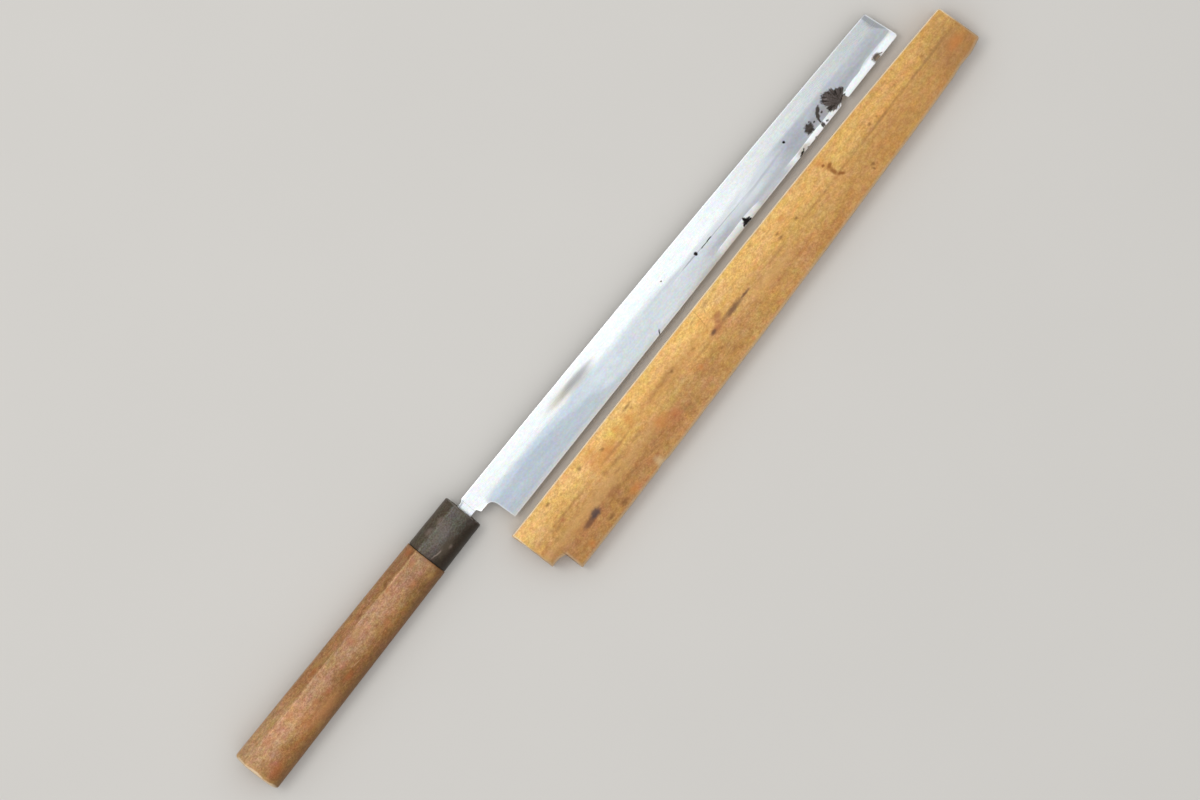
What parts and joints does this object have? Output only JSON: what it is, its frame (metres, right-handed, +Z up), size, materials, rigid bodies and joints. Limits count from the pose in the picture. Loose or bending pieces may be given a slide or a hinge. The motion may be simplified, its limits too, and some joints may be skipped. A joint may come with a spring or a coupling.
{
  "type": "takohiki knife with sheath",
  "caption": "Long single-bevel slicing knife with a square tip, a wooden D-section handle and a horn ferrule, lying beside its open-backed wooden sheath.",
  "frame": {"origin": "on the surface that the knife and the sheath lie on, under the middle of the whole", "axes": "+X along the spine of the blade, from the butt of the handle to the tip; +Y toward the spine side; +Z up, out of the bevelled face of the blade"},
  "size_m": [0.4536, 0.066, 0.0194],
  "materials": {
    "soft_iron": "hazy stone polish with a few rust spots",
    "hard_steel": "brighter stone polish along the edge",
    "grip_wood": "bare, worn smooth by the hand",
    "ferrule_horn": "satin dark horn with fine streaks",
    "tang_resin": "dull dark resin",
    "sheath_wood": "bare, planed, with stains and worn corners"
  },
  "bodies": {
    "knife": {"blade_iron": "soft_iron", "edge_steel": "hard_steel", "handle_grip": "grip_wood", "horn_ferrule": "ferrule_horn", "tang_seal": "tang_resin"},
    "sheath": {"sheath_front_board": "sheath_wood", "sheath_back_board": "sheath_wood", "sheath_edge_strip": "sheath_wood", "sheath_end_block": "sheath_wood"}
  },
  "joints": [
    {"name": "sheath_over_blade", "type": "slide", "parent": "knife", "child": "sheath", "axis": [-0.0795, 0.9968, 0], "range_m": [0, 0.02769]}
  ]
}
